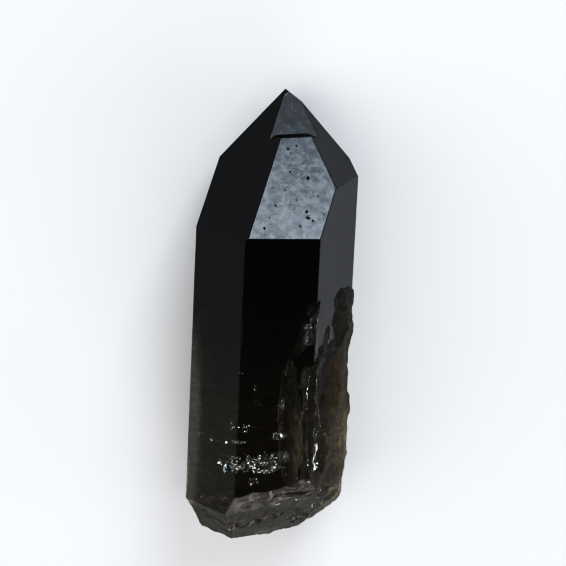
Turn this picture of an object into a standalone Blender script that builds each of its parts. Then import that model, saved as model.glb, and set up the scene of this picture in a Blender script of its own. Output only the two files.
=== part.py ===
"""Smoky quartz crystal, one natural piece, lying on its widest hidden prism face.

Metres, +Z up. The long axis of the crystal runs along Y with the tip towards +Y.
The origin is the middle of the crystal's box on the surface it rests on.
Every place below is measured in millimetres from the point where growth began.
"""

import math

import bmesh
import bpy
from mathutils import Matrix, Vector, noise

MM = 0.001

# Growth angle of quartz, in degrees: a tip face's normal leans this far from the long axis.
TIP_LEAN = 51.8

# Distance to each growth face, by its direction round the long axis in degrees.
# 0 is straight up and 90 is towards +X, so 180 is the face that the crystal rests on.
PRISM_FACES = {0: 14.02, 60: 8.65, 120: 6.95, 180: 6.03, -120: 8.62, -60: 13.78}
TIP_FACES = {0: 16.65, 60: 16.01, 120: 16.00, 180: 17.15, -120: 17.15, -60: 16.24}

# The upper part of the top tip face lies deeper than the plate that covers its lower part.
DEEP_TIP_FACE = 15.22
# The end of that plate, as places across the face and along the long axis.
PLATE_END = ((-9.0, 15.0), (-3.44, 20.06), (-2.6, 20.54), (0.2, 20.7), (1.67, 20.8), (3.22, 20.2), (9.0, 15.0))
PLATE_TOOL_REACH = 40.0
PLATE_TOOL_HEIGHT = 8.0

# A smaller crystal grown along the lower right side, in the same setting as the main one.
SIDE_PRISM_FACES = {0: 14.35, 60: 9.1, 120: 7.5, 180: 5.2, -60: 6.6, -120: 4.0}
SIDE_TIP_FACES = {0: 6.2, 60: 7.0, 120: 4.9, -60: 5.4}
SIDE_LENGTH = 50.0

# Growth steps at the head of the side crystal: distances of their top, outer side, left side,
# top tip face and outer tip face.
GROWTH_STEPS = (
    (14.22, 8.80, 5.95, 10.95, 6.9),
    (14.36, 8.92, 6.75, 9.75, 6.2),
    (14.52, 9.04, 7.15, 8.1, 5.5),
)
STEP_LENGTH = 9.0
STEP_BACK_FACES = {120: 0.0, -120: 0.0}

# The break at the root, as outward directions and distances.
ROOT_BREAK = (
    ((0.117, -0.502, 0.857), 23.99),
    ((0.175, -0.763, 0.622), 28.15),
    ((0.600, -0.600, 0.530), 23.75),
    ((-0.640, -0.685, 0.350), 29.45),
    ((0.180, -0.932, -0.310), 30.35),
)

# Half the side of the block that the growth faces are cut from.
BLOCK_HALF = 60.0

# Hollows broken or grown into the surface: middle of the mouth, outward direction,
# half length along the crystal, half width across it, depth, and turn in degrees.
HOLLOWS = {
    "long_flute": ((-0.95, -15.6, 14.05), (0.05, 0.0, 1.0), 9.4, 1.6, 1.25, 3),
    "flute_head": ((0.15, -4.6, 14.2), (0.30, 0.1, 1.0), 5.2, 0.95, 0.75, -22),
    "edge_flute": ((2.3, -14.6, 14.0), (0.5, 0.0, 0.866), 8.6, 1.15, 0.9, 2),
    "brown_window": ((5.8, -12.4, 8.2), (0.866, 0.0, 0.5), 5.8, 4.2, 1.0, 4),
    "waist": ((9.3, -10.0, 1.2), (1.0, 0.1, 0.0), 3.3, 3.8, 0.9, 0),
    "shoulder_dent": ((7.4, -3.6, 5.4), (0.866, 0.1, 0.5), 3.2, 2.3, 0.4, -14),
    "low_dent": ((4.6, -20.8, 10.3), (0.8, 0.1, 0.6), 4.8, 2.6, 0.7, -8),
    "low_side_dent": ((7.8, -20.4, 4.8), (0.866, -0.1, 0.4), 5.4, 2.8, 0.6, 6),
    "low_rim_dent": ((6.4, -25.6, 7.2), (0.8, -0.3, 0.5), 2.8, 3.6, 0.5, 0),
    "root_shell": ((-3.5, -30.3, 9.0), (0.175, -0.763, 0.622), 2.9, 5.2, 0.6, 8),
    "root_right_shell": ((3.2, -30.0, 7.0), (0.300, -0.750, 0.600), 3.0, 3.4, 0.5, -12),
    "root_rim_shell": ((0.6, -25.0, 13.4), (0.117, -0.502, 0.857), 1.5, 3.8, 0.35, 0),
    "root_side_shell": ((6.4, -28.1, 5.4), (0.600, -0.600, 0.530), 3.0, 3.0, 0.5, 20),
    "root_corner_shell": ((-10.6, -30.4, 5.4), (-0.640, -0.685, 0.350), 2.2, 2.0, 0.4, -10),
    "root_under_shell": ((-2.0, -32.0, -1.6), (0.180, -0.932, -0.310), 3.0, 6.2, 0.7, 0),
    "hidden_side_shell": ((6.6, -21.0, -2.6), (0.866, 0.0, -0.5), 6.5, 2.0, 0.7, -6),
    "left_root_shell": ((-10.9, -24.6, 0.4), (-0.866, -0.1, -0.5), 4.2, 1.8, 0.5, 10),
    "tip_chip": ((-1.35, 25.5, -0.7), (-0.5, 0.85, 0.1), 0.45, 0.8, 0.22, 0),
}
# Radius of a hollow's round tool, in depths of the hollow.
TOOL_DEPTHS = 3.0
# A hollow that faces this squarely along the crystal takes its length upwards instead.
END_ON = 0.7
HOLLOW_DETAIL = 4
# Fine uneven ripple of the hollows, as a share of their size and as waves across them.
RIPPLE_SHARE = 0.035
RIPPLE_WAVES = 3.2
RIPPLE_SEED_STEP = 7.3

QUARTZ_COLOUR = (0.012, 0.010, 0.008, 1.0)
QUARTZ_ROUGHNESS = 0.06
QUARTZ_IOR = 1.544


def clear_scene():
    """Removes what the file starts with."""
    for thing in list(bpy.data.objects):
        bpy.data.objects.remove(thing, do_unlink=True)


def prism_normal(turn):
    """Direction of a prism face, turned round the long axis."""
    angle = math.radians(turn)
    return Vector((math.sin(angle), 0.0, math.cos(angle)))


def tip_normal(turn):
    """Direction of a tip face, which leans from the long axis towards its prism face."""
    lean = math.radians(TIP_LEAN)
    return prism_normal(turn) * math.sin(lean) + Vector((0.0, math.cos(lean), 0.0))


def growth_faces(prism, tip):
    """All faces of one crystal as directions and distances."""
    faces = [(prism_normal(turn), distance) for turn, distance in prism.items()]
    faces += [(tip_normal(turn), distance) for turn, distance in tip.items()]
    return faces


def end_face(length):
    """Face across the long axis, this far below the point where growth began."""
    return (Vector((0.0, -1.0, 0.0)), length)


def cut_block(name, faces):
    """Cuts a block down to the space behind all the faces and fills each cut flat."""
    mesh = bmesh.new()
    bmesh.ops.create_cube(mesh, size=2 * BLOCK_HALF * MM)
    for direction, distance in faces:
        normal = Vector(direction).normalized()
        parts = mesh.verts[:] + mesh.edges[:] + mesh.faces[:]
        cut = bmesh.ops.bisect_plane(
            mesh, geom=parts, plane_co=normal * distance * MM, plane_no=normal, clear_outer=True)
        rim = [item for item in cut["geom_cut"] if isinstance(item, bmesh.types.BMEdge)]
        if rim:
            bmesh.ops.edgeloop_fill(mesh, edges=rim)
    bmesh.ops.recalc_face_normals(mesh, faces=mesh.faces)
    return new_object(name, mesh)


def new_object(name, mesh):
    """Turns a bmesh into a named object in the scene."""
    data = bpy.data.meshes.new(name)
    mesh.to_mesh(data)
    mesh.free()
    thing = bpy.data.objects.new(name, data)
    bpy.context.scene.collection.objects.link(thing)
    return thing


def combine(target, tool, operation):
    """Joins the tool to the target, or cuts the target with it, and hides the tool."""
    step = target.modifiers.new(tool.name, "BOOLEAN")
    step.operation = operation
    step.solver = "EXACT"
    step.object = tool
    tool.hide_render = True
    tool.display_type = "WIRE"


def plate_end_tool():
    """Block over the deep tip face, whose near side is the stepped end of the plate."""
    normal = tip_normal(0)
    side = PLATE_END[-1][0]
    mesh = bmesh.new()
    corners = []
    for x, y in PLATE_END + ((side, PLATE_TOOL_REACH), (-side, PLATE_TOOL_REACH)):
        z = (DEEP_TIP_FACE - normal.y * y) / normal.z
        corners.append(mesh.verts.new(Vector((x, y, z)) * MM))
    floor = mesh.faces.new(corners)
    raised = bmesh.ops.extrude_face_region(mesh, geom=[floor])
    top = [item for item in raised["geom"] if isinstance(item, bmesh.types.BMVert)]
    bmesh.ops.translate(mesh, verts=top, vec=Vector((0.0, 0.0, PLATE_TOOL_HEIGHT * MM)))
    bmesh.ops.recalc_face_normals(mesh, faces=mesh.faces)
    return new_object("plate_end", mesh)


def hollow_tool(name, mouth, outward, half_length, half_width, depth, turn, seed):
    """Rippled egg that leaves a shell-like hollow of the given mouth and depth where it cuts."""
    out = Vector(outward).normalized()
    along = Vector((0.0, 1.0, 0.0))
    if abs(out.dot(along)) > END_ON:
        along = Vector((0.0, 0.0, 1.0))
    across = along.cross(out).normalized()
    along = out.cross(across)
    turned = Matrix.Rotation(math.radians(turn), 3, out)
    axes = Matrix((turned @ across, turned @ along, out)).transposed()
    radius = TOOL_DEPTHS * depth
    rise = radius - depth
    widening = 1.0 / math.sqrt(1.0 - (rise / radius) ** 2)
    size = Matrix.Diagonal(Vector((half_width * widening, half_length * widening, radius)))
    mesh = bmesh.new()
    bmesh.ops.create_icosphere(mesh, subdivisions=HOLLOW_DETAIL, radius=1.0)
    for vert in mesh.verts:
        ripple = noise.noise(vert.co * RIPPLE_WAVES + Vector((seed, 0.0, 0.0)))
        vert.co = (axes @ size @ vert.co) * (1.0 + RIPPLE_SHARE * ripple)
        vert.co = (vert.co + Vector(mouth) + out * rise) * MM
    return new_object(name, mesh)


def growth_step(number, top, outer, left, top_tip, outer_tip):
    """Low step beside the main crystal's edge, with its own small tip faces."""
    prism = {0: top, 60: outer, -60: left, **STEP_BACK_FACES}
    faces = growth_faces(prism, {0: top_tip, 60: outer_tip})
    return cut_block(f"growth_step_{number}", faces + [end_face(STEP_LENGTH + number)])


def quartz_material():
    """Nearly black brown crystal, glossy."""
    material = bpy.data.materials.new("smoky_quartz")
    material.use_nodes = True
    shader = material.node_tree.nodes["Principled BSDF"]
    shader.inputs["Base Color"].default_value = QUARTZ_COLOUR
    shader.inputs["Roughness"].default_value = QUARTZ_ROUGHNESS
    shader.inputs["Metallic"].default_value = 0.0
    shader.inputs["IOR"].default_value = QUARTZ_IOR
    return material


def set_down(thing):
    """Applies the modifiers and moves the mesh so that the middle of its box's underside is the origin.

    Gives back where the point that growth began from then is.
    """
    depsgraph = bpy.context.evaluated_depsgraph_get()
    finished = bpy.data.meshes.new_from_object(thing.evaluated_get(depsgraph))
    thing.modifiers.clear()
    thing.data = finished
    corners = [vert.co for vert in finished.vertices]
    low = Vector([min(corner[axis] for corner in corners) for axis in range(3)])
    high = Vector([max(corner[axis] for corner in corners) for axis in range(3)])
    middle = Vector(((low.x + high.x) / 2, (low.y + high.y) / 2, low.z))
    finished.transform(Matrix.Translation(-middle))
    return -middle


def build_crystal():
    """The whole crystal as one solid: prism and tip, side growth, root break, plate and hollows."""
    crystal = cut_block("crystal", growth_faces(PRISM_FACES, TIP_FACES))
    side_faces = growth_faces(SIDE_PRISM_FACES, SIDE_TIP_FACES) + [end_face(SIDE_LENGTH)]
    combine(crystal, cut_block("side_growth", side_faces), "UNION")
    for number, sizes in enumerate(GROWTH_STEPS):
        combine(crystal, growth_step(number, *sizes), "UNION")
    combine(crystal, cut_block("root_break", ROOT_BREAK), "INTERSECT")
    combine(crystal, plate_end_tool(), "DIFFERENCE")
    for number, (name, sizes) in enumerate(HOLLOWS.items()):
        combine(crystal, hollow_tool(name, *sizes, number * RIPPLE_SEED_STEP), "DIFFERENCE")
    growth_centre = set_down(crystal)
    crystal.data.materials.clear()
    crystal.data.materials.append(quartz_material())
    return growth_centre


clear_scene()
GROWTH_CENTRE = build_crystal()
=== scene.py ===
"""Looks of a smoky quartz crystal that lies on its widest hidden prism face.

Sizes and places are in millimetres from the point where growth began: x to the right,
y towards the tip and z up. The crystal's box in the frame says where that point is.
"""

import logging
import math
import random
from contextlib import contextmanager
from dataclasses import dataclass, field
from enum import Enum
from typing import Iterable, Iterator, Sequence, Union

import bpy
from mathutils import Euler, Matrix, Vector, noise


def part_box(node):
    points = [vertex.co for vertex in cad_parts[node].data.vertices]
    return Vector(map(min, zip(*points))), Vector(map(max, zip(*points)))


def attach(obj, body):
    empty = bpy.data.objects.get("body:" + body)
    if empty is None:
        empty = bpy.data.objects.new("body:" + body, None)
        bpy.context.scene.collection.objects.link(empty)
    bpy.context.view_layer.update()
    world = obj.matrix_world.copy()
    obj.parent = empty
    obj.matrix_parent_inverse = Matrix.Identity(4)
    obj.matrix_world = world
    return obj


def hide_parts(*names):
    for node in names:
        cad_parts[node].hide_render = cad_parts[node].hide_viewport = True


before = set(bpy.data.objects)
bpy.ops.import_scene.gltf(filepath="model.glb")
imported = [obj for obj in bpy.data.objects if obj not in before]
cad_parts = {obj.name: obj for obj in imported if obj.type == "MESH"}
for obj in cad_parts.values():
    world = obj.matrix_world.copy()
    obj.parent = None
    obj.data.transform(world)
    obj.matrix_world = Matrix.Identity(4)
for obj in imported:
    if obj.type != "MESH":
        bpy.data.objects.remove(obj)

log = logging.getLogger("smoky_quartz")

MM = 0.001
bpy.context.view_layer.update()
CRYSTAL_LOW = Vector(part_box("crystal")[0])
# The point where growth began, from the lowest corner of the crystal's box.
CENTRE_FROM_CORNER = (12.932, 35.071, 6.03)
GROWTH_CENTRE = CRYSTAL_LOW + Vector(CENTRE_FROM_CORNER) * MM

# Growth angle of quartz in degrees: a tip face's normal leans this far from the long axis.
TIP_LEAN = 51.8
BLOCK_HALF = 60.0
CUT_THRESHOLD = 1e-7
# Folds sharper than this many degrees are worn, and broken ones sharper than the second stay creased.
WORN_FOLD = 20.0
CREASED_FOLD = 34.0
# Corners closer than this are one, in millimetres.
ONE_CORNER = 0.05

# A hollow's floor is part of an egg this many times as high as the hollow is deep.
EGG_HEIGHT = 3.0
# The lid of a hollow's tool: lowest height, share of the depth above it, and largest share of the egg.
LID_HEIGHT, LID_SHARE, LID_LIMIT = 0.5, 0.6, 0.9
# Mouths larger than these, as half length times half width, get finer tools.
LARGE_MOUTH, SMALL_MOUTH = 9.0, 0.6
# Width, depth and turn of one pit after another, as shares of its length and in degrees.
PIT_WIDTH, PIT_DEPTH, PIT_TURN = 0.7, 0.35, 40.0

# How near a face lies to a growth plane and how close its direction is, to count as part of it.
NEAR_PLANE, SAME_WAY = 0.09, 0.99995
NEAR_DEEP_TIP, DEEP_TIP_WAY = 0.02, 0.9999
# Tip faces look along the crystal by more than this share.
TIP_SHARE = 0.4
WORN_MARK = 0.3
# Names of the numbers that the mesh keeps for its finish.
MARKS = ("broken", "etched", "grown_tip")

Triple = tuple[float, float, float]
Face = tuple[Vector, float]
Thing = bpy.types.Object
Socket = bpy.types.NodeSocket


def place(point: Sequence[float]) -> Vector:
    """Place in the frame of a point given in crystal millimetres.

    Args:
        point: Millimetres from the point where growth began.

    Returns:
        The place in metres.
    """
    return GROWTH_CENTRE + Vector(point) * MM


def prism_normal(turn: float) -> Vector:
    """Direction of a prism face.

    Args:
        turn: Degrees round the long axis, 0 straight up and 90 to the right.

    Returns:
        The outward unit vector.
    """
    angle = math.radians(turn)
    return Vector((math.sin(angle), 0.0, math.cos(angle)))


def tip_normal(turn: float) -> Vector:
    """Direction of a tip face, which leans from the long axis towards its prism face.

    Args:
        turn: Degrees round the long axis, as for the prism face below it.

    Returns:
        The outward unit vector.
    """
    lean = math.radians(TIP_LEAN)
    return prism_normal(turn) * math.sin(lean) + Vector((0.0, math.cos(lean), 0.0))


def make_active(thing: Thing) -> None:
    """Selects one object alone and makes it the active one.

    Args:
        thing: The object to select.
    """
    bpy.ops.object.select_all(action="DESELECT")
    thing.select_set(True)
    bpy.context.view_layer.objects.active = thing


@contextmanager
def editing(thing: Thing) -> Iterator[None]:
    """Edit mode on one object with all of it selected, and back to object mode after.

    Args:
        thing: The object to edit.
    """
    make_active(thing)
    bpy.ops.object.mode_set(mode="EDIT")
    bpy.ops.mesh.select_all(action="SELECT")
    yield
    bpy.ops.object.mode_set(mode="OBJECT")


def finish_with(thing: Thing, kind: str, **settings: object) -> None:
    """Adds one modifier to an object, sets it and applies it.

    Args:
        thing: The object to change.
        kind: Blender's name for the kind of modifier.
        **settings: Values of the modifier's own properties.
    """
    make_active(thing)
    bpy.ops.object.modifier_add(type=kind)
    step = thing.modifiers[-1]
    for name, value in settings.items():
        setattr(step, name, value)
    bpy.ops.object.modifier_apply(modifier=step.name)


class Joining(Enum):
    """Ways to combine a body with a tool."""

    GROW = "UNION"
    CARVE = "DIFFERENCE"


def box_of(thing: Thing) -> tuple[Vector, Vector]:
    """Box of an object whose place is in its mesh.

    Args:
        thing: The object to measure.

    Returns:
        The lowest and the highest corner.
    """
    corners = [Vector(corner) for corner in thing.bound_box]
    low = Vector([min(corner[axis] for corner in corners) for axis in range(3)])
    high = Vector([max(corner[axis] for corner in corners) for axis in range(3)])
    return low, high


def apart(one: Thing, other: Thing) -> bool:
    """Whether the boxes of two objects don't touch."""
    (low, high), (other_low, other_high) = box_of(one), box_of(other)
    return any(high[axis] < other_low[axis] or other_high[axis] < low[axis] for axis in range(3))


def carve_all(body: Thing, tools: Iterable[Thing]) -> None:
    """Takes many tools away from a body in as few rounds as their places allow.

    Args:
        body: The object that is changed.
        tools: Closed objects that are used up. Those whose boxes are apart are joined for one cut.
    """
    rounds: list[list[Thing]] = []
    for tool in tools:
        free = next((group for group in rounds if all(apart(tool, other) for other in group)), None)
        if free is None:
            rounds.append([tool])
        else:
            free.append(tool)
    for group in rounds:
        make_active(group[0])
        for tool in group:
            tool.select_set(True)
        if len(group) > 1:
            bpy.ops.object.join()
        combine(body, group[0], Joining.CARVE)


def combine(body: Thing, tool: Thing, how: Joining) -> None:
    """Combines the tool with the body and removes the tool.

    Args:
        body: The object that is changed.
        tool: A closed object that is used up.
        how: Whether the tool is added or taken away.
    """
    finish_with(body, "BOOLEAN", operation=how.value, solver="EXACT", object=tool)
    bpy.data.objects.remove(tool, do_unlink=True)


@dataclass(frozen=True)
class Roughening:
    """Uneven surface that is pressed into a tool before it cuts.

    Attributes:
        scale: Size of the waves in millimetres.
        height: Height of the waves in millimetres.
        depth: How many finer layers of waves lie on the first.
        creased: Whether the waves meet in sharp creases.
    """

    scale: float
    height: float
    depth: int = 2
    creased: bool = False

    def press(self, thing: Thing, group: str = "") -> None:
        """Moves the mesh along its normals by cloudy noise.

        Args:
            thing: The object to roughen.
            group: Vertex group that moves, or all of the mesh where none is named.
        """
        clouds = bpy.data.textures.new("waves", type="CLOUDS")
        clouds.noise_scale = self.scale * MM
        clouds.noise_depth = self.depth
        clouds.noise_type = "HARD_NOISE" if self.creased else "SOFT_NOISE"
        finish_with(thing, "DISPLACE", texture=clouds, texture_coords="LOCAL",
                    strength=self.height * MM, mid_level=0.5, vertex_group=group)
        bpy.data.textures.remove(clouds)


RAGGED = (Roughening(2.6, 0.75, 2, True), Roughening(0.9, 0.22, 2, True), Roughening(0.35, 0.06))
SCALED = (Roughening(1.3, 0.34, 2, True), Roughening(0.5, 0.12, 2, True))
NICKED = (Roughening(0.4, 0.10, 1, True),)


@dataclass(frozen=True)
class Block:
    """Flat-faced form that is cut from a cube, one growth face after another.

    Attributes:
        prism: Distance to each prism face, by its turn round the long axis.
        tip: Distance to each tip face, by its turn.
        length: Distance to the flat end away from the tip.
    """

    prism: dict[int, float]
    tip: dict[int, float]
    length: float

    def faces(self) -> list[Face]:
        """All faces as outward directions and distances."""
        sides = [(prism_normal(turn), distance) for turn, distance in self.prism.items()]
        slopes = [(tip_normal(turn), distance) for turn, distance in self.tip.items()]
        return sides + slopes + [(Vector((0.0, -1.0, 0.0)), self.length)]

    def build(self, name: str) -> Thing:
        """Cuts the block.

        Args:
            name: Name of the object.

        Returns:
            The closed block.
        """
        bpy.ops.object.select_all(action="DESELECT")
        bpy.ops.mesh.primitive_cube_add(size=2 * BLOCK_HALF * MM, location=GROWTH_CENTRE)
        block = bpy.context.object
        block.name = name
        bpy.ops.object.transform_apply()
        with editing(block):
            for direction, distance in self.faces():
                bpy.ops.mesh.select_all(action="SELECT")
                bpy.ops.mesh.bisect(plane_co=place(direction * distance), plane_no=direction,
                                    use_fill=True, clear_outer=True, threshold=CUT_THRESHOLD)
        return block


@dataclass(frozen=True)
class Hollow:
    """Shell-like hollow with a round floor, broken or grown into the surface.

    Attributes:
        mouth: Middle of the mouth.
        outward: Direction that the mouth faces.
        half_length: Half of the mouth's length along the crystal.
        half_width: Half of the mouth's width.
        depth: Depth below the mouth.
        turn: Degrees that the mouth is turned round its outward direction.
        roughening: Unevenness of the hollow's floor.
        coarse: How many times the tool's faces are halved, where that is given.
    """

    mouth: Triple
    outward: Triple
    half_length: float
    half_width: float
    depth: float
    turn: float = 0.0
    roughening: tuple[Roughening, ...] = SCALED
    coarse: int = 0

    def tool(self, name: str) -> Thing:
        """Makes the rippled egg that cuts the hollow.

        Args:
            name: Name of the tool.

        Returns:
            The closed egg.
        """
        out = Vector(self.outward).normalized()
        along = Vector((0.0, 0.0, 1.0)) if abs(out.y) > 0.7 else Vector((0.0, 1.0, 0.0))
        across = along.cross(out).normalized()
        along = out.cross(across)
        turned = Matrix.Rotation(math.radians(self.turn), 3, out)
        axes = Matrix((turned @ across, turned @ along, out)).transposed()
        radius = EGG_HEIGHT * self.depth
        rise = radius - self.depth
        widening = 1.0 / math.sqrt(1.0 - (rise / radius) ** 2)
        size = Matrix.Diagonal(Vector((self.half_width * widening, self.half_length * widening, radius)))
        bpy.ops.object.select_all(action="DESELECT")
        size_of_mouth = self.half_length * self.half_width
        detail = self.coarse or 4 + (size_of_mouth > SMALL_MOUTH) + (size_of_mouth > LARGE_MOUTH)
        bpy.ops.mesh.primitive_ico_sphere_add(subdivisions=detail, radius=MM)
        egg = bpy.context.object
        egg.name = name
        egg.matrix_world = Matrix.Translation(place(Vector(self.mouth) + out * rise)) @ (axes @ size).to_4x4()
        bpy.ops.object.transform_apply()
        lid_height = min(LID_HEIGHT + LID_SHARE * self.depth, LID_LIMIT * (radius + rise))
        lid = Vector(self.mouth) + out * lid_height
        for waves in self.roughening:
            waves.press(egg)
        with editing(egg):
            bpy.ops.mesh.bisect(plane_co=place(lid), plane_no=out, use_fill=True, clear_outer=True,
                                threshold=CUT_THRESHOLD)
        return egg


@dataclass(frozen=True)
class BreakFace:
    """One uneven face of the break at the root.

    Attributes:
        outward: Direction that the face looks.
        distance: Distance of the face from the point where growth began.
        roughening: Unevenness of the face.
        middle: Place that the middle of the face lies over.
        side: Length of the face's sides in millimetres.
        rows: How many small faces lie along a side.
        reach: How far the block that cuts the face reaches outwards.
    """

    outward: Triple
    distance: float
    roughening: tuple[Roughening, ...] = (Roughening(5.5, 0.7), Roughening(1.6, 0.25), Roughening(0.5, 0.08))
    middle: Triple = (0.0, -29.0, 5.0)
    side: float = 30.0
    rows: int = 100
    reach: float = 20.0

    def tool(self, name: str) -> Thing:
        """Makes the block that takes away all that lies beyond the face.

        Args:
            name: Name of the tool.

        Returns:
            The closed block, whose near side is uneven.
        """
        out = Vector(self.outward).normalized()
        middle = Vector(self.middle)
        foot = middle + out * (self.distance - middle.dot(out))
        turn = out.to_track_quat("Z", "Y").to_matrix().to_4x4()
        bpy.ops.object.select_all(action="DESELECT")
        bpy.ops.mesh.primitive_grid_add(x_subdivisions=self.rows, y_subdivisions=self.rows,
                                        size=self.side * MM)
        block = bpy.context.object
        block.name = name
        block.matrix_world = Matrix.Translation(place(foot)) @ turn
        bpy.ops.object.transform_apply()
        for waves in self.roughening:
            waves.press(block)
        with editing(block):
            bpy.ops.mesh.extrude_region_move(TRANSFORM_OT_translate={"value": out * self.reach * MM})
            bpy.ops.mesh.select_all(action="SELECT")
            bpy.ops.mesh.normals_make_consistent(inside=False)
        return block


@dataclass
class CrystalBody:
    """The whole crystal as one closed piece.

    Attributes:
        main: The main crystal's prism and tip.
        side: The smaller crystal grown along the lower right side.
        side_lumps: Unevenness of the smaller crystal, which grew lumpy.
        side_grain: Size of the faces that carry these lumps.
        side_smoothing: Rounds of smoothing before and after the lumps.
        deep_tip: Distance of the part of the top tip face above the plate's end.
        plate_end: Outline of the plate's end across the face and along the crystal.
        root: The uneven faces of the break.
        hollows: Hollows by name.
        pits: Small pits on the top tip face: across, along and half their length.
        weathering: Unevenness pressed into all that is broken.
        wear: Width of the worn edges in millimetres.
    """

    main: Block = Block(
        {0: 14.02, 60: 8.65, 120: 6.95, 180: 6.03, -120: 8.62, -60: 13.78},
        {0: 16.65, 60: 16.01, 120: 16.00, 180: 17.15, -120: 17.15, -60: 16.24}, 36.0)
    side: Block = Block(
        {0: 14.35, 60: 9.1, 120: 7.6, 180: 5.2, -60: 6.6, -120: 4.0},
        {0: 6.2, 60: 7.0, 120: 4.9, -60: 5.4}, 35.0)
    side_lumps: tuple[Roughening, ...] = (
        Roughening(4.2, 1.5, 1), Roughening(1.9, 0.45, 1, True))
    side_grain: float = 0.3
    side_smoothing: tuple[int, int] = (12, 2)
    deep_tip: float = 15.22
    plate_end: tuple[tuple[float, float], ...] = (
        (-9.0, 15.0), (-3.44, 20.06), (-2.6, 20.54), (0.2, 20.7), (1.67, 20.8), (3.22, 20.2), (9.0, 15.0))
    root: tuple[BreakFace, ...] = (
        BreakFace((0.117, -0.502, 0.857), 23.99),
        BreakFace((0.175, -0.763, 0.622), 28.15),
        BreakFace((0.600, -0.600, 0.530), 23.75),
        BreakFace((-0.640, -0.685, 0.350), 29.45),
        BreakFace((0.180, -0.932, -0.310), 30.35),
    )
    hollows: dict[str, Hollow] = field(default_factory=lambda: {
        "long_flute": Hollow((-0.95, -15.6, 14.05), (0.05, 0.0, 1.0), 9.4, 1.6, 1.25, 3),
        "flute_head": Hollow((0.15, -4.6, 14.2), (0.30, 0.1, 1.0), 5.2, 0.95, 0.75, -22),
        "edge_flute": Hollow((2.3, -14.6, 14.0), (0.42, 0.0, 0.90), 8.6, 1.25, 1.0, 2),
        "ridge_shine_upper": Hollow((1.75, -0.9, 13.7), (0.15, 0.53, 0.83), 1.5, 1.0, 0.35, -25),
        "ridge_shine_lower": Hollow((1.0, -4.2, 13.9), (0.15, 0.50, 0.85), 1.5, 0.9, 0.35, -25),
        "light_patch": Hollow((3.6, -21.3, 12.4), (0.45, 0.45, 0.77), 1.5, 1.1, 0.35, -15),
        "brown_window": Hollow((5.8, -12.4, 8.2), (0.74, 0.0, 0.67), 6.2, 4.4, 1.1, 4, RAGGED),
        "waist": Hollow((9.3, -10.0, 1.2), (1.0, 0.1, 0.0), 3.3, 3.8, 0.9, 0),
        "shoulder_dent": Hollow((7.2, -3.8, 5.7), (0.66, 0.1, 0.74), 3.4, 2.3, 0.5, -14),
        "low_dent": Hollow((4.7, -20.8, 10.1), (0.66, 0.1, 0.74), 4.8, 3.0, 0.9, -8, RAGGED),
        "low_side_dent": Hollow((7.6, -20.4, 5.0), (0.78, -0.1, 0.6), 5.4, 3.2, 0.8, 6, RAGGED),
        "low_rim_dent": Hollow((6.4, -25.6, 7.2), (0.7, -0.3, 0.6), 2.8, 3.4, 0.6, 0, RAGGED),
        "root_shell": Hollow((-3.5, -30.3, 9.0), (0.175, -0.763, 0.622), 2.9, 5.2, 0.6, 8, RAGGED),
        "root_right_shell": Hollow((3.2, -30.0, 7.0), (0.300, -0.750, 0.600), 3.0, 3.4, 0.5, -12, RAGGED),
        "root_rim_shell": Hollow((0.6, -25.0, 13.4), (0.117, -0.502, 0.857), 1.5, 3.8, 0.35, 0),
        "root_side_shell": Hollow((6.4, -28.1, 5.4), (0.600, -0.600, 0.530), 3.0, 3.0, 0.5, 20, RAGGED),
        "root_corner_shell": Hollow((-10.6, -30.4, 5.4), (-0.640, -0.685, 0.350), 2.2, 2.0, 0.4, -10),
        "root_under_shell": Hollow((-2.0, -32.0, -1.6), (0.180, -0.932, -0.310), 3.0, 6.2, 0.7, 0, RAGGED),
        "hidden_side_shell": Hollow((6.6, -21.0, -2.6), (0.866, 0.0, -0.5), 6.5, 2.0, 0.7, -6, RAGGED),
        "left_root_shell": Hollow((-10.55, -24.6, 0.6), (-0.866, -0.1, -0.5), 4.2, 1.8, 0.5, 10),
        "tip_chip": Hollow((-1.35, 25.5, -0.7), (-0.5, 0.85, 0.1), 0.55, 0.9, 0.26, 0, NICKED),
        "tip_front_chip": Hollow((-1.0, 25.75, -0.55), (0.05, 0.85, 0.52), 0.55, 1.0, 0.3, 20, NICKED),
        "ledge_left_chip": Hollow((-2.05, 20.75, 4.75), (-0.2, 0.5, 0.85), 0.3, 0.35, 0.16, 0, NICKED),
        "ledge_chip": Hollow((0.15, 20.8, 4.7), (0.1, 0.5, 0.85), 0.25, 0.4, 0.14, 10, NICKED),
        "edge_nick": Hollow((-7.82, -3.2, 14.02), (-0.5, 0.0, 0.87), 2.6, 0.35, 0.16, 0, NICKED),
    })
    pits: tuple[Triple, ...] = (
        (0.9, 16.0, 0.30), (-0.3, 19.7, 0.16), (-1.4, 19.3, 0.22), (-1.1, 18.8, 0.13), (0.4, 12.2, 0.24),
        (1.1, 11.2, 0.20), (0.5, 11.5, 0.32), (-0.6, 10.6, 0.14), (-2.2, 14.6, 0.11), (-3.6, 12.9, 0.16),
        (0.4, 17.7, 0.12), (-1.4, 16.7, 0.15), (-4.5, 11.5, 0.12), (2.0, 14.0, 0.15), (-5.3, 10.3, 0.2),
        (-0.8, 13.5, 0.13))
    weathering: tuple[Roughening, ...] = (
        Roughening(1.7, 0.30, 2, True), Roughening(0.6, 0.13, 2, True))
    wear: float = 0.06

    def pit_tools(self) -> list[Thing]:
        """Makes the small blunt tools that pit the top tip face.

        Returns:
            The closed tools.
        """
        normal = tip_normal(0)
        distance = self.main.tip[0]
        tools = []
        for number, (x, y, half) in enumerate(self.pits):
            mouth = (x, y, (distance - normal.y * y) / normal.z)
            pit = Hollow(mouth, tuple(normal), half, PIT_WIDTH * half, PIT_DEPTH * half,
                         PIT_TURN * number, (), 2)
            tools.append(pit.tool(f"pit_{number}"))
        return tools

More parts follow.
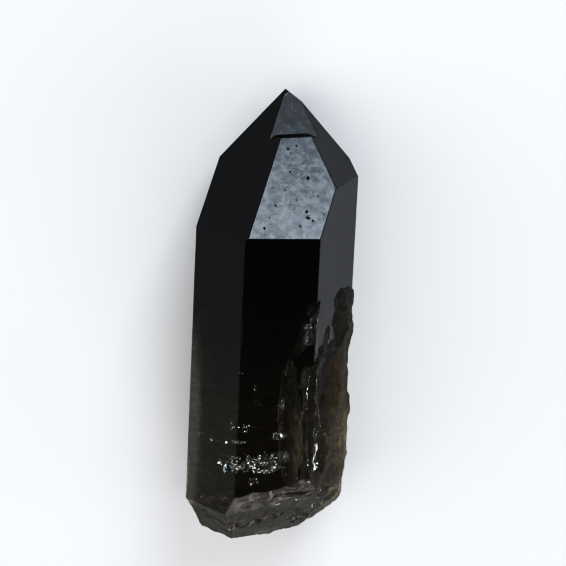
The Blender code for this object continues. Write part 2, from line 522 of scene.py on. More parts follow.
    def plate_tool(self) -> Thing:
        """Makes the block over the deep tip face, whose near side is the plate's stepped end.

        Returns:
            The closed block.
        """
        normal = tip_normal(0)
        reach, height, side = 40.0, 8.0, self.plate_end[-1][0]
        outline = self.plate_end + ((side, reach), (-side, reach))
        corners = [place((x, y, (self.deep_tip - normal.y * y) / normal.z)) for x, y in outline]
        mesh = bpy.data.meshes.new("plate_end")
        mesh.from_pydata(corners, [], [tuple(range(len(corners)))])
        tool = bpy.data.objects.new("plate_end", mesh)
        bpy.context.scene.collection.objects.link(tool)
        with editing(tool):
            bpy.ops.mesh.extrude_region_move(TRANSFORM_OT_translate={"value": (0.0, 0.0, height * MM)})
            bpy.ops.mesh.select_all(action="SELECT")
            bpy.ops.mesh.normals_make_consistent(inside=False)
        return tool

    def even_out(self, growth: Thing, rounds: int) -> None:
        """Gives the smaller crystal small even faces and smooths them.

        Args:
            growth: The smaller crystal.
            rounds: How many times it is smoothed.
        """
        finish_with(growth, "REMESH", mode="VOXEL", voxel_size=self.side_grain * MM)
        finish_with(growth, "SMOOTH", factor=0.5, iterations=rounds)

    def side_growth(self) -> Thing:
        """Makes the smaller crystal, rounded and lumpy.

        Returns:
            The closed crystal.
        """
        growth = self.side.build("side_growth")
        before, after = self.side_smoothing
        self.even_out(growth, before)
        for waves in self.side_lumps:
            waves.press(growth)
        self.even_out(growth, after)
        return growth

    def growth_planes(self) -> list[Face]:
        """Every flat growth face, as outward directions and distances."""
        return self.main.faces() + [(tip_normal(0), self.deep_tip)]

    def mark_surfaces(self, body: Thing) -> None:
        """Writes which faces are broken, worn, etched or on the tip.

        Args:
            body: The finished mesh.
        """
        mesh = body.data
        for name in MARKS:
            mesh.attributes.new(name, "FLOAT", "FACE")
        broken, etched, grown_tip = (mesh.attributes[name] for name in MARKS)
        planes = self.growth_planes()
        deep_normal = tip_normal(0)
        for polygon in mesh.polygons:
            spot = (polygon.center - GROWTH_CENTRE) / MM
            near = [normal for normal, distance in planes if abs(spot.dot(normal) - distance) < NEAR_PLANE]
            flat = any(polygon.normal.dot(normal) > SAME_WAY for normal in near)
            deep = abs(spot.dot(deep_normal) - self.deep_tip) < NEAR_DEEP_TIP
            deep = deep and polygon.normal.dot(deep_normal) > DEEP_TIP_WAY
            broken.data[polygon.index].value = 0.0 if flat else WORN_MARK if len(near) > 1 else 1.0
            etched.data[polygon.index].value = 1.0 if deep else 0.0
            grown_tip.data[polygon.index].value = 1.0 if flat and polygon.normal.y > TIP_SHARE else 0.0
            polygon.use_smooth = not flat

    def weather(self, body: Thing) -> None:
        """Roughens all that is broken, up to the rims of the flat growth faces.

        Args:
            body: The marked mesh.
        """
        mesh = body.data
        loose: set[int] = set()
        firm: set[int] = set()
        for polygon, mark in zip(mesh.polygons, mesh.attributes["broken"].data):
            (loose if mark.value == 1.0 else firm).update(polygon.vertices)
        group = body.vertex_groups.new(name="weathered")
        group.add(list(loose - firm), 1.0, "REPLACE")
        for waves in self.weathering:
            waves.press(body, group.name)
        body.vertex_groups.clear()

    def shade(self, body: Thing) -> None:
        """Shades what is broken smooth, with its sharp creases kept.

        Args:
            body: The finished mesh.
        """
        mesh = body.data
        smooth = [polygon.use_smooth for polygon in mesh.polygons]
        make_active(body)
        bpy.ops.object.shade_smooth_by_angle(angle=math.radians(CREASED_FOLD))
        mesh.polygons.foreach_set("use_smooth", smooth)
        mesh.update()

    def build(self) -> Thing:
        """Cuts, joins and breaks the whole crystal.

        Returns:
            The finished piece, not yet dressed.
        """
        body = self.main.build("quartz_crystal")
        combine(body, self.plate_tool(), Joining.CARVE)
        with editing(body):
            bpy.ops.mesh.remove_doubles(threshold=ONE_CORNER * MM)
        finish_with(body, "BEVEL", width=self.wear * MM, segments=2, limit_method="ANGLE",
                    angle_limit=math.radians(WORN_FOLD), use_clamp_overlap=False)
        combine(body, self.side_growth(), Joining.GROW)
        for number, face in enumerate(self.root):
            combine(body, face.tool(f"break_{number}"), Joining.CARVE)
        dents = [hollow.tool(name) for name, hollow in self.hollows.items()]
        carve_all(body, dents + self.pit_tools())
        self.mark_surfaces(body)
        self.weather(body)
        self.shade(body)
        return body


# Waves that bend a whole band of flakes.
DRIFT = Roughening(2.2, 1.1, 1)
# Thickness of a flake, size of its crinkles, and how far its corners wander as a share of its faces.
FLAKE_THICKNESS, CRINKLE_SIZE, WANDER = 0.02, 0.5, 0.45
# How closely flakes gather, in coarse and fine clumps, and how fast they thin out towards the rim.
COARSE_CLUMPS, FINE_CLUMPS, THINNING = 0.9, 3.5, 0.75


@dataclass(frozen=True)
class Veil:
    """Band of tiny bright flakes along a crack that healed inside the crystal.

    Attributes:
        middle: Middle of the band.
        length: Length across the crystal.
        width: Width of the band.
        tilt: Degrees that the band rises to the right.
        lean: Degrees that its flakes lean back towards the tip.
        cover: Share of the band that the flakes cover.
        grain: Size of one flake's faces.
        crinkle: Height of its crinkles.
    """

    middle: Triple
    length: float
    width: float
    tilt: float = 0.0
    lean: float = 20.0
    cover: float = 0.42
    grain: float = 0.16
    crinkle: float = 0.16

    def build(self, name: str) -> Thing:
        """Makes the band's flakes.

        Args:
            name: Name of the object.

        Returns:
            The thin closed flakes, in one object.
        """
        columns = max(2, round(self.length / self.grain))
        rows = max(2, round(self.width / self.grain))
        bpy.ops.object.select_all(action="DESELECT")
        bpy.ops.mesh.primitive_grid_add(x_subdivisions=columns, y_subdivisions=rows, size=MM)
        band = bpy.context.object
        band.name = name
        turn = Euler((math.radians(-self.lean), 0.0, math.radians(self.tilt)), "ZYX").to_matrix().to_4x4()
        size = Matrix.Diagonal(Vector((self.length, self.width, 1.0, 1.0)))
        band.matrix_world = Matrix.Translation(place(self.middle)) @ turn @ size
        bpy.ops.object.transform_apply()
        with editing(band):
            bpy.ops.transform.vertex_random(offset=WANDER * self.grain * MM, seed=columns + rows)
        self.thin_out(band)
        DRIFT.press(band)
        Roughening(CRINKLE_SIZE, self.crinkle, 1, True).press(band)
        finish_with(band, "SOLIDIFY", thickness=FLAKE_THICKNESS * MM, offset=0.0)
        return band

    def thin_out(self, band: Thing) -> None:
        """Deletes the faces between the flakes, more of them towards the band's rim.

        Args:
            band: The flat band.
        """
        with editing(band):
            bpy.ops.mesh.select_mode(type="FACE")
            bpy.ops.mesh.select_all(action="DESELECT")
        scored = []
        for polygon in band.data.polygons:
            spot = (polygon.center - GROWTH_CENTRE) / MM
            away = spot - Vector(self.middle)
            rim = (2.0 * away.x / self.length) ** 2 + (2.0 * away.y / self.width) ** 2
            clump = noise.fractal(spot * COARSE_CLUMPS, 0.8, 2.0, 4) + 0.5 * noise.noise(spot * FINE_CLUMPS)
            scored.append((clump - THINNING * rim, polygon.index))
        count = max(2, round(self.cover * len(scored)))
        kept = {index for _, index in sorted(scored, reverse=True)[:count]}
        for polygon in band.data.polygons:
            polygon.select = polygon.index not in kept
        make_active(band)
        bpy.ops.object.mode_set(mode="EDIT")
        bpy.ops.mesh.delete(type="FACE")
        bpy.ops.object.mode_set(mode="OBJECT")


@dataclass
class InnerVeils:
    """Healed cracks that glitter under the faces near the root.

    Attributes:
        bands: The larger bands.
        flecks: Single flecks: their place, length and width.
        fleck_cover: Share of a fleck or speck that is there.
        fleck_grain: Size of a fleck's or speck's faces and height of its crinkles.
        specks: Box in which the brown side's specks lie, as its lowest and highest corner.
        speck_slope: How far the specks' sheet faces right and up.
        speck_distance: Distance of that sheet from the point where growth began.
        speck_count: How many specks there are.
    """

    bands: tuple[Veil, ...] = (
        Veil((-4.8, -21.2, 12.3), 10.4, 3.0, 4, 22, 0.42),
        Veil((-3.4, -20.8, 11.9), 4.8, 1.9, 12, 25, 0.58),
        Veil((-7.2, -21.9, 12.5), 3.8, 1.5, 10, 20, 0.50),
        Veil((-7.6, -18.3, 12.5), 3.4, 0.5, 12, 20, 0.45),
        Veil((-9.6, -18.9, 9.8), 2.4, 0.6, 10, 20, 0.14, 0.09),
        Veil((-11.3, -19.0, 7.2), 1.2, 0.9, 0, 19, 0.24, 0.09),
        Veil((-2.0, -17.7, 11.6), 1.9, 1.0, -10, 20, 0.6),
        Veil((-5.3, -23.6, 12.2), 1.6, 1.5, 40, 20, 0.35),
        Veil((-6.5, -16.2, 12.6), 6.5, 1.6, -4, 24, 0.16),
        Veil((-5.4, -12.8, 13.0), 3.0, 2.2, 20, 28, 0.08),
        Veil((1.1, -3.0, 12.3), 1.7, 5.0, -18, 26, 0.30, 0.2, 0.09),
        Veil((-2.0, -14.2, 12.2), 0.8, 8.4, 3, 25, 0.28, 0.2, 0.08),
        Veil((3.0, -21.9, 11.2), 1.4, 1.7, -40, 26, 0.5, 0.2, 0.1),
        Veil((-9.9, -27.6, 6.4), 1.8, 1.2, 30, 24, 0.4, 0.2, 0.1),
    )
    flecks: tuple[tuple[Triple, float, float], ...] = (
        ((-0.85, -20.4, 11.5), 0.6, 1.2), ((-1.7, -8.7, 13.2), 0.3, 0.7), ((-5.6, -10.8, 13.2), 0.4, 0.8),
        ((-7.4, -8.9, 12.9), 0.4, 0.24), ((-5.5, -16.0, 13.0), 0.5, 0.3),
        ((-1.9, -16.3, 13.0), 0.7, 0.3), ((0.4, -15.2, 11.2), 0.4, 0.35), ((-8.5, -26.2, 12.0), 0.5, 0.4),
        ((-3.3, -29.2, 7.6), 0.6, 0.35), ((-8.3, -26.8, 10.2), 1.2, 0.25), ((2.1, -12.7, 10.2), 0.3, 0.3),
        ((3.7, -24.0, 9.4), 0.3, 0.3), ((-1.0, -23.0, 12.2), 0.4, 0.4))
    specks: tuple[Triple, Triple] = ((3.6, -22.5, 1.0), (7.0, -15.2, 8.0))
    fleck_cover: float = 0.8
    fleck_grain: float = 0.12
    speck_slope: tuple[float, float] = (0.866, 0.5)
    speck_distance: float = 6.6
    speck_count: int = 46

    def fleck(self, name: str, middle: Triple, length: float, width: float, tilt: float = 0.0,
              lean: float = 20.0) -> Thing:
        """Makes one small fleck.

        Args:
            name: Name of the object.
            middle: Middle of the fleck.
            length: Length across the crystal.
            width: Its width.
            tilt: Degrees that it rises to the right.
            lean: Degrees that it leans back towards the tip.

        Returns:
            The fleck.
        """
        return Veil(middle, length, width, tilt, lean, self.fleck_cover, self.fleck_grain,
                    self.fleck_grain).build(name)

    def build(self) -> Thing:
        """Makes all the flakes as one piece.

        Returns:
            The finished piece, not yet dressed.
        """
        veils = [band.build(f"veil_{number}") for number, band in enumerate(self.bands)]
        for number, (middle, length, width) in enumerate(self.flecks):
            veils.append(self.fleck(f"fleck_{number}", middle, length, width))
        chance = random.Random(11)
        low, high = self.specks
        right, up = self.speck_slope
        for number in range(self.speck_count):
            spot = [chance.uniform(low[axis], high[axis]) for axis in range(3)]
            spot[0] = (self.speck_distance - up * spot[2]) / right - chance.uniform(0.0, 0.5)
            veils.append(self.fleck(
                f"speck_{number}", tuple(spot), chance.uniform(0.15, 0.4), chance.uniform(0.15, 0.35),
                chance.uniform(-60, 60), chance.uniform(10, 40)))
        make_active(veils[0])
        for veil in veils:
            veil.select_set(True)
        bpy.ops.object.join()
        veils[0].name = "inner_veils"
        return veils[0]


Feed = Union[Socket, float, Sequence[float]]


class Bench:
    """Short ways to lay out the nodes of one material or node group.

    Args:
        tree: The node tree that is filled.
    """

    def __init__(self, tree: bpy.types.NodeTree) -> None:
        self.tree = tree

    def feed(self, socket: Socket, feed: Feed) -> None:
        """Links a socket, or sets its value.

        Args:
            socket: The input to fill.
            feed: Another node's output, a number, a vector or a colour.
        """
        if isinstance(feed, Socket):
            self.tree.links.new(feed, socket)
        else:
            socket.default_value = feed

    def add(self, kind: str, feeds: dict[Union[str, int], Feed], **settings: object) -> bpy.types.Node:
        """Adds a node.

        Args:
            kind: Blender's name for the node, without its first words.
            feeds: What each input gets.
            **settings: Values of the node's own properties.

        Returns:
            The node.
        """
        node = self.tree.nodes.new(f"ShaderNode{kind}")
        for name, value in settings.items():
            setattr(node, name, value)
        for name, feed in feeds.items():
            self.feed(node.inputs[name], feed)
        return node

    def calc(self, operation: str, *feeds: Feed) -> Socket:
        """One sum on numbers.

        Args:
            operation: Blender's name for the sum.
            *feeds: The numbers.

        Returns:
            The result.
        """
        return self.add("Math", dict(enumerate(feeds)), operation=operation).outputs[0]

    def vector(self, operation: str, *feeds: Feed) -> Socket:
        """One sum on vectors.

        Args:
            operation: Blender's name for the sum.
            *feeds: The vectors.

        Returns:
            The result, a number for a length.
        """
        node = self.add("VectorMath", dict(enumerate(feeds)), operation=operation)
        return node.outputs["Value" if operation == "LENGTH" else "Vector"]

    def ramp(self, value: Feed, start: float, stop: float, low: float = 0.0,
             high: float = 1.0) -> Socket:
        """Smooth step from low to high as the value goes from start to stop.

        Args:
            value: The value to read.
            start: Value at which the step begins.
            stop: Value at which it ends.
            low: Result before the step.
            high: Result after it.

        Returns:
            The stepped value.
        """
        feeds = {"Value": value, "From Min": start, "From Max": stop, "To Min": low, "To Max": high}
        return self.add("MapRange", feeds, interpolation_type="SMOOTHSTEP").outputs[0]

    def blend(self, share: Feed, low: Feed, high: Feed) -> Socket:
        """Mix of two colours.

        Args:
            share: Share of the second colour.
            low: The first colour.
            high: The second colour.

        Returns:
            The mixed colour.
        """
        node = self.add("Mix", {}, data_type="RGBA")
        for name, feed in (("Factor", share), ("A", low), ("B", high)):
            socket = next(s for s in node.inputs if s.enabled and s.name == name)
            self.feed(socket, feed)
        return next(s for s in node.outputs if s.enabled)

    def clouds(self, size: float, detail: float = 3.0, rough: float = 0.55, distortion: float = 0.0,
               stretch: Triple = (1.0, 1.0, 1.0)) -> Socket:
        """Places the group for cloudy noise with values of its own.

        Args:
            size: Size of the clouds in millimetres.
            detail: How many finer layers lie on the first.
            rough: How strong the finer layers are.
            distortion: How far the clouds are pulled about.
            stretch: How often the clouds repeat across, along and up, for once in a plain cloud.

        Returns:
            The noise, between 0 and 1.
        """
        values = {"Stretch": stretch, "Scale": 1.0 / size, "Detail": detail, "Roughness": rough,
                  "Distortion": distortion}
        return self.add("Group", values, node_tree=crystal_clouds()).outputs["Clouds"]

    def millimetres(self) -> Socket:
        """Place on the piece in millimetres from the point where growth began.

        Returns:
            The place.
        """
        place_on_piece = self.add("TexCoord", {}).outputs["Object"]
        from_centre = self.vector("SUBTRACT", place_on_piece, tuple(GROWTH_CENTRE))
        return self.vector("MULTIPLY", from_centre, (1.0 / MM,) * 3)

    def attribute(self, name: str) -> Socket:
        """A number that is kept on the mesh."""
        return self.add("Attribute", {}, attribute_name=name).outputs["Fac"]


def crystal_clouds() -> bpy.types.NodeTree:
    """Node group for cloudy noise in crystal millimetres, made once and shared by the finishes.

    Returns:
        The group, which puts out a number between 0 and 1.
    """
    made = bpy.data.node_groups.get("crystal_clouds")
    if made:
        return made
    tree = bpy.data.node_groups.new("crystal_clouds", "ShaderNodeTree")
    tree.interface.new_socket(name="Stretch", in_out="INPUT", socket_type="NodeSocketVector")
    numbers = ("Scale", "Detail", "Roughness", "Distortion")
    for name in numbers:
        tree.interface.new_socket(name=name, in_out="INPUT", socket_type="NodeSocketFloat")
    tree.interface.new_socket(name="Clouds", in_out="OUTPUT", socket_type="NodeSocketFloat")
    bench = Bench(tree)
    given = tree.nodes.new("NodeGroupInput").outputs
    where = bench.vector("MULTIPLY", bench.millimetres(), given["Stretch"])
    texture = bench.add("TexNoise", {"Vector": where, **{name: given[name] for name in numbers}})
    bench.feed(tree.nodes.new("NodeGroupOutput").inputs["Clouds"], texture.outputs["Fac"])
    return tree


def new_material(name: str) -> tuple[bpy.types.Material, Bench, bpy.types.Node]:
    """Starts a material.

    Args:
        name: Name of the material.

    Returns:
        The material, the bench for its nodes, and its shader.
    """
    material = bpy.data.materials.new(name)
    material.use_nodes = True
    return material, Bench(material.node_tree), material.node_tree.nodes["Principled BSDF"]


@dataclass(frozen=True)
class Zone:
    """Part of the crystal whose tint is lighter, darker or browner than the rest; the dark tints on the right
    side and in the long flute's valley are painted shade.

    Attributes:
        middle: Middle of the zone.
        reach: How far it reaches across, along and up.
        colour: Tint inside the zone.
        strength: Share of the tint at its middle.
    """

    middle: Triple
    reach: Triple
    colour: Triple
    strength: float = 1.0


@dataclass(frozen=True)
class SmokyQuartz:
    """See-through crystal, nearly black at the tip and brown at the root.

    Attributes:
        tip_colour: Tint of the surface at the tip.
        root_colour: Tint at the root.
        fade: Where the smoke begins and ends to clear, along the crystal.
        tint_and_shade_zones: Parts with a tint of their own: lighter, darker or browner smoke, and painted
            shade on the right side and in the long flute's valley.
        ior: Refraction of quartz.
        absorption: Colour that passes through the crystal.
        density: How strongly it absorbs, for a metre.
        fray: How far the clouds shift the fade, in millimetres.
        band_stretch: How often the smoke's bands repeat across, along and up, for a millimetre.
        edge_middle: Middle of the pale sheen along the left edge.
        edge_reach: How far the sheen reaches across, along and up.
        edge_ior: How strongly the sheen mirrors.
        edge_roughness: Roughness of the sheen.
        edge_tint: Tint of the sheen.
        edge_weight: Strength of the sheen at its middle.
        grown_roughness: Roughness of clean and of veiled prism faces.
        tip_roughness: Least and most roughness of the tip's mottled faces.
        break_roughness: Least and most roughness of what is broken.
        etched_roughness: Roughness that the deep tip face has above the others.
        relief: Distance of the fine relief in millimetres.
        mottle_relief: Share of the relief that follows the tip's mottle.
        break_relief: Share that follows the breaks.
        striae_relief: Share that follows the fine lines across the prism.
    """

    tip_colour: Triple = (0.006, 0.0055, 0.005)
    root_colour: Triple = (0.70, 0.67, 0.61)
    fade: tuple[float, float] = (4.0, -18.5)
    tint_and_shade_zones: tuple[Zone, ...] = (
        Zone((-12.9, -13.0, 4.4), (2.6, 20.0, 4.6), (0.96, 0.94, 0.84), 0.95),
        Zone((-8.6, -14.0, -3.0), (4.2, 19.0, 4.6), (0.96, 0.94, 0.84), 0.95),
        Zone((-9.4, -4.0, 10.0), (2.4, 9.0, 4.0), (0.02, 0.02, 0.02), 0.8),
        # Painted shade: darkens the right wall of the long flute's valley.
        Zone((-0.2, -10.5, 13.2), (1.4, 6.0, 2.2), (0.10, 0.09, 0.08), 0.8),
        Zone((1.4, -3.4, 13.4), (2.2, 5.2, 1.6), (0.62, 0.63, 0.65), 0.85),
        Zone((-10.5, -27.0, 5.0), (5.0, 6.5, 7.0), (0.97, 0.95, 0.90), 0.9),
        Zone((-1.0, -26.6, 13.0), (6.0, 2.8, 3.0), (0.95, 0.94, 0.92), 0.9),
        # Painted shade: darkens the right side.
        Zone((9.6, -2.4, 3.0), (3.2, 4.6, 6.0), (0.16, 0.15, 0.11), 0.9),
        Zone((6.6, -12.0, 7.4), (3.4, 5.0, 4.0), (0.62, 0.40, 0.22), 0.9),
        # Painted shade: darkens the right side low down, near the floor.
        Zone((9.6, -12.5, 0.5), (2.6, 8.0, 5.0), (0.20, 0.18, 0.12), 0.8),
        Zone((-0.9, 26.0, -0.9), (1.3, 0.9, 1.4), (0.92, 0.94, 0.97), 1.0),
    )
    ior: float = 1.544
    absorption: Triple = (0.65, 0.61, 0.48)
    density: float = 136.0
    edge_middle: Triple = (-13.0, -18.5, 5.0)
    edge_reach: Triple = (2.3, 16.0, 5.0)
    edge_ior: float = 1.9
    fray: float = 7.0
    band_stretch: Triple = (0.25, 2.2, 0.6)
    edge_roughness: float = 0.12
    edge_tint: Triple = (1.0, 0.97, 0.90)
    edge_weight: float = 0.68
    grown_roughness: tuple[float, float] = (0.035, 0.24)
    tip_roughness: tuple[float, float] = (0.14, 0.26)
    break_roughness: tuple[float, float] = (0.32, 0.52)
    etched_roughness: float = 0.11
    relief: float = 0.006
    mottle_relief: float = 0.8
    break_relief: float = 9.0
    striae_relief: float = 0.25

    def tint(self, bench: Bench, where: Socket,
             clouds: Socket) -> Socket:
        """Smoke of the crystal: dark at the tip, banded and cloudy, with its zones of other tints and of
        painted shade.

        Args:
            bench: Where the nodes are laid out.
            where: Place in millimetres.
            clouds: Cloudy noise that frays the zones.

        Returns:
            The tint.
        """
        frayed = bench.calc("MULTIPLY_ADD", clouds, self.fray, -0.5 * self.fray)
        along = bench.add("SeparateXYZ", {0: where}).outputs["Y"]
        rootward = bench.ramp(bench.calc("ADD", along, frayed), *self.fade)
        colour = bench.blend(rootward, (*self.tip_colour, 1.0), (*self.root_colour, 1.0))
        # Each zone blends in its tint, painted shade among them.
        for zone in self.tint_and_shade_zones:
            inward = bench.vector("DIVIDE", bench.vector("SUBTRACT", where, zone.middle), zone.reach)
            nearer = bench.calc("SUBTRACT", bench.vector("LENGTH", inward), 0.35)
            away = bench.calc("MULTIPLY_ADD", clouds, 0.7, nearer)
            share = bench.ramp(away, 1.05, 0.45, 0.0, zone.strength)
            colour = bench.blend(share, colour, (*zone.colour, 1.0))
        bands = bench.clouds(1.0, 4.0, 0.6, stretch=self.band_stretch)
        banded = bench.ramp(bands, 0.30, 0.60, 0.66, 1.0)
        cloudy = bench.ramp(clouds, 0.30, 0.55, 0.76, 1.0)
        return bench.blend(bench.calc("MULTIPLY", banded, cloudy), (0.0, 0.0, 0.0, 1.0), colour)

    def roughness(self, bench: Bench, mottle: Socket,
                  marks: dict[str, Socket]) -> Socket:
        """Roughness of grown, veiled, mottled, etched and broken faces.

        Args:
            bench: Where the nodes are laid out.
            mottle: Cloudy noise of the tip's mottle.
            marks: The numbers that the mesh keeps, by name.

        Returns:
            The roughness.
        """
        tip = bench.ramp(mottle, 0.34, 0.68, *self.tip_roughness)
        veiled = bench.clouds(3.0, 5.0, 0.65, 1.2, (0.8, 1.4, 0.8))
        prism = bench.ramp(veiled, 0.46, 0.70, *self.grown_roughness)
        on_tip = bench.calc("MULTIPLY", marks["grown_tip"], bench.calc("SUBTRACT", tip, prism))
        grown = bench.calc("ADD", on_tip, prism)
        fractured = bench.ramp(bench.clouds(0.55, 4.0, 0.65), 0.3, 0.7, *self.break_roughness)
        on_break = bench.calc("MULTIPLY", marks["broken"], bench.calc("SUBTRACT", fractured, grown))
        return bench.calc("MULTIPLY_ADD", marks["etched"], self.etched_roughness,
                          bench.calc("ADD", on_break, grown))

    def lay_sheen(self, bench: Bench, shader: bpy.types.Node, where: Socket,
                  clouds: Socket) -> None:
        """Lays the pale sheen along the left edge.

        Args:
            bench: Where the nodes are laid out.
            shader: The material's shader.
            where: Place in millimetres.
            clouds: Cloudy noise that frays the sheen.
        """
        shader.inputs["Coat IOR"].default_value = self.edge_ior
        shader.inputs["Coat Roughness"].default_value = self.edge_roughness
        shader.inputs["Coat Tint"].default_value = (*self.edge_tint, 1.0)
        inward = bench.vector("DIVIDE", bench.vector("SUBTRACT", where, self.edge_middle), self.edge_reach)
        away = bench.calc("MULTIPLY_ADD", clouds, 0.6, bench.vector("LENGTH", inward))
        bench.feed(shader.inputs["Coat Weight"], bench.ramp(away, 1.30, 0.80, 0.0, self.edge_weight))

    def fine_relief(self, bench: Bench, mottle: Socket,
                    marks: dict[str, Socket]) -> Socket:
        """Relief too fine for the mesh: pits, mottle, broken grain and growth lines.

        Args:
            bench: Where the nodes are laid out.
            mottle: Cloudy noise of the tip's mottle.
            marks: The numbers that the mesh keeps, by name.

        Returns:
            The surface's normal.
        """
        striae = bench.clouds(1.0, 3.0, 0.5, stretch=(0.12, 3.2, 0.12))
        pits = bench.ramp(bench.clouds(0.28, 3.0, 0.6), 0.26, 0.40)
        not_etched = bench.calc("MULTIPLY_ADD", marks["etched"], -1.0, 1.0)
        smooth_tip = bench.calc("MULTIPLY", marks["grown_tip"], not_etched)
        mottled = bench.calc("ADD", pits, bench.calc("MULTIPLY", mottle, self.mottle_relief))
        on_tip = bench.calc("MULTIPLY", mottled, smooth_tip)
        on_break = bench.calc("MULTIPLY", bench.clouds(0.8, 5.0, 0.6),
                              bench.calc("MULTIPLY", marks["broken"], self.break_relief))
        height = bench.calc("ADD", bench.calc("ADD", on_tip, on_break),
                            bench.calc("MULTIPLY", striae, self.striae_relief))
        feeds = {"Height": height, "Strength": 1.0, "Distance": self.relief * MM}
        return bench.add("Bump", feeds).outputs["Normal"]

    def build(self) -> bpy.types.Material:
        """Makes the material.

        Returns:
            The material.
        """
        material, bench, shader = new_material("smoky_quartz")
        shader.inputs["Transmission Weight"].default_value = 1.0
        shader.inputs["IOR"].default_value = self.ior
        volume = bench.add("VolumeAbsorption", {"Color": (*self.absorption, 1.0), "Density": self.density})
        bench.feed(material.node_tree.nodes["Material Output"].inputs["Volume"], volume.outputs["Volume"])
        where = bench.millimetres()
        marks = {name: bench.attribute(name) for name in MARKS}
        clouds = bench.clouds(3.4, 5.0, 0.6, 0.4)
        mottle = bench.clouds(1.1, 7.0, 0.72, 0.3)
        bench.feed(shader.inputs["Base Color"], self.tint(bench, where, clouds))
        bench.feed(shader.inputs["Roughness"], self.roughness(bench, mottle, marks))
        self.lay_sheen(bench, shader, where, clouds)
        bench.feed(shader.inputs["Normal"], self.fine_relief(bench, mottle, marks))
        return material


@dataclass(frozen=True)
class HealedCrack:
    """Silvery face of a healed crack, full of tiny bubbles.

    Attributes:
        colour: Colour of its shine.
        dull_colour: Colour between the bubbles.
        metallic: How far it shines like metal.
        roughness: Roughness between and on the bubbles.
    """

    colour: Triple = (0.86, 0.90, 0.95)
    dull_colour: Triple = (0.45, 0.44, 0.42)
    metallic: float = 0.9
    roughness: tuple[float, float] = (0.30, 0.14)

    def build(self) -> bpy.types.Material:
        """Makes the material.

        Returns:
            The material.
        """
        material, bench, shader = new_material("healed_crack")
        shader.inputs["Metallic"].default_value = self.metallic
        bubbles = bench.clouds(0.3)
        shine = bench.blend(bench.ramp(bubbles, 0.3, 0.6), (*self.dull_colour, 1.0), (*self.colour, 1.0))
        bench.feed(shader.inputs["Base Color"], shine)
        bench.feed(shader.inputs["Roughness"], bench.ramp(bubbles, 0.3, 0.7, *self.roughness))
        return material


@dataclass(frozen=True)
class PaleFloor:
    """Plain pale matt floor.

    Attributes:
        colour: Colour of the floor.
        side: Length of its sides in metres.
        height: Height of the floor in metres, a hair below the crystal.
        roughness: Roughness of the floor.
        gloss: How strongly it mirrors.
    """

    colour: tuple[float, float, float, float] = (0.86, 0.86, 0.87, 1.0)
    side: float = 4.0
    height: float = -0.00002
    roughness: float = 0.9
    gloss: float = 0.2

    def build(self) -> Thing:
        """Makes the floor.

        Returns:
            The floor.
        """
        bpy.ops.object.select_all(action="DESELECT")
        bpy.ops.mesh.primitive_plane_add(size=self.side, location=(0.0, 0.0, self.height))
        floor = bpy.context.object
        floor.name = "floor"
        material, _, shader = new_material("pale_floor")
        shader.inputs["Base Color"].default_value = self.colour
        shader.inputs["Roughness"].default_value = self.roughness
        shader.inputs["Specular IOR Level"].default_value = self.gloss
        floor.data.materials.append(material)
        return floor


@dataclass(frozen=True)
class Softbox:
    """Area light that looks at the crystal.

    Attributes:
        towards: Direction from the crystal to the light.
        distance: Distance of the light in metres.
        width: Width in metres.
        height: Height in metres.
        radiance: Brightness of its face.
        colour: Colour of the light.
        mirrored: Whether glossy surfaces show it.
    """

    towards: Triple
    distance: float
    width: float
    height: float
    radiance: float
    colour: Triple = (1.0, 1.0, 1.0)
    mirrored: bool = True

    def build(self, name: str) -> Thing:
        """Makes the light.

        Args:
            name: Name of the light.

        Returns:
            The light's object.
        """
        away = Vector(self.towards).normalized()
        bpy.ops.object.light_add(type="AREA", location=away * self.distance)
        lamp = bpy.context.object
        lamp.name = name
        lamp.rotation_euler = away.to_track_quat("Z", "Y").to_euler()
        lamp.data.shape = "RECTANGLE"
        lamp.data.size = self.width
        lamp.data.size_y = self.height
        lamp.data.energy = self.radiance * math.pi * self.width * self.height
        lamp.data.color = self.colour
        lamp.visible_glossy = self.mirrored
        return lamp


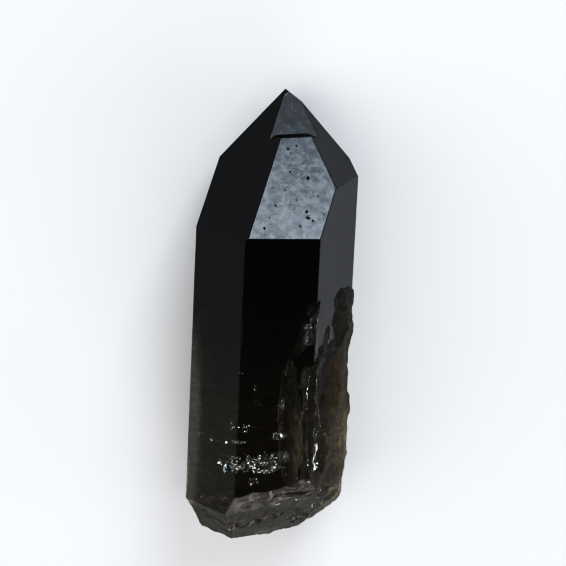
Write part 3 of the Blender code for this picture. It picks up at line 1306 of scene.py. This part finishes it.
@dataclass
class Studio:
    """Floor, lights, tone and camera.

    Attributes:
        view_turn: Turn of the camera about x, y and z, in degrees.
        view_distance: Distance of the camera in millimetres.
        view_shift: Sideways and upward shift of the aim, in millimetres.
        lens: Focal length in millimetres.
        sensor: Width of the camera's sensor in millimetres.
        surround: Colour of the dim room.
        surround_strength: Brightness of the dim room.
        lights: Lights by name.
        toe: Points of the tone curve, as scene brightness and shown brightness.
    """

    view_turn: Triple = (13.9415, 10.0060, -0.2656)
    view_distance: float = 335.0
    view_shift: tuple[float, float] = (0.1598, 0.1071)
    lens: float = 159.01
    sensor: float = 36.0
    surround: Triple = (0.95, 0.97, 1.0)
    surround_strength: float = 0.32
    lights: dict[str, Softbox] = field(default_factory=lambda: {
        "tip_window": Softbox((0.17, 0.82, 0.55), 0.9, 0.48, 0.33, 9.6, (0.84, 0.92, 1.0)),
        "edge_window": Softbox((0.15, 0.55, 0.82), 0.9, 0.30, 0.12, 4.0, (0.86, 0.94, 1.0)),
        "right_card": Softbox((0.91, -0.24, 0.31), 0.9, 0.5, 0.3, 2.2),
        "front_card": Softbox((0.33, -0.92, 0.21), 0.9, 0.5, 0.3, 8.0),
        "left_fill": Softbox((-0.75, -0.1, 0.65), 0.9, 0.8, 0.8, 2.1, mirrored=False),
        "overhead_fill": Softbox((0.12, -0.45, 0.88), 0.9, 1.0, 1.0, 0.42, mirrored=False),
    })
    toe: tuple[tuple[float, float], ...] = (
        (0.05, 0.006), (0.1, 0.017), (0.15, 0.037), (0.2, 0.068), (0.3, 0.20), (0.45, 0.43))

    def build_world(self) -> None:
        """Sets a dim even surround."""
        world = bpy.data.worlds.new("dim_room")
        world.use_nodes = True
        background = world.node_tree.nodes["Background"]
        background.inputs["Color"].default_value = (*self.surround, 1.0)
        background.inputs["Strength"].default_value = self.surround_strength
        bpy.context.scene.world = world

    def build_camera(self) -> None:
        """Sets the camera where the photograph was taken from."""
        data = bpy.data.cameras.new("camera")
        data.sensor_width = self.sensor
        data.lens = self.lens
        data.clip_start = 0.01
        camera = bpy.data.objects.new("camera", data)
        bpy.context.scene.collection.objects.link(camera)
        to_view = Euler([math.radians(angle) for angle in self.view_turn], "XYZ").to_matrix()
        to_world = to_view.transposed()
        aim = Vector((-self.view_shift[0], -self.view_shift[1], self.view_distance))
        camera.matrix_world = Matrix.Translation(place(to_world @ aim)) @ to_world.to_4x4()
        bpy.context.scene.camera = camera

    def set_tone(self) -> None:
        """Sets the tone curve, whose toe deepens the dark reflections."""
        view = bpy.context.scene.view_settings
        view.view_transform = "Standard"
        view.look = "None"
        view.use_curve_mapping = True
        mapping = view.curve_mapping
        mapping.extend = "EXTRAPOLATED"
        curve = mapping.curves[3]
        for x, y in self.toe:
            curve.points.new(x, y)
        mapping.update()

    def build(self) -> None:
        """Sets up all of it."""
        self.build_camera()
        self.build_world()
        PaleFloor().build()
        for name, light in self.lights.items():
            light.build(name)
        self.set_tone()


def write_sizes() -> None:
    """Brings the placements of all objects up to date."""
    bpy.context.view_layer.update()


def dress(piece: Thing, finish: bpy.types.Material) -> None:
    """Gives a piece its finish and its place in the table.

    Args:
        piece: The finished mesh.
        finish: Its material.
    """
    piece.data.materials.clear()
    piece.data.materials.append(finish)
    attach(piece, "root")
    log.info("%s: %d faces", piece.name, len(piece.data.polygons))


def main() -> None:
    """Builds the studio and the crystal and dresses it."""
    logging.basicConfig(level=logging.INFO, format="%(name)s: %(message)s")
    Studio().build()
    body = CrystalBody().build()
    dress(body, SmokyQuartz().build())
    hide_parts("crystal")
    dress(InnerVeils().build(), HealedCrack().build())
    write_sizes()


if __name__ == "__main__":
    main()
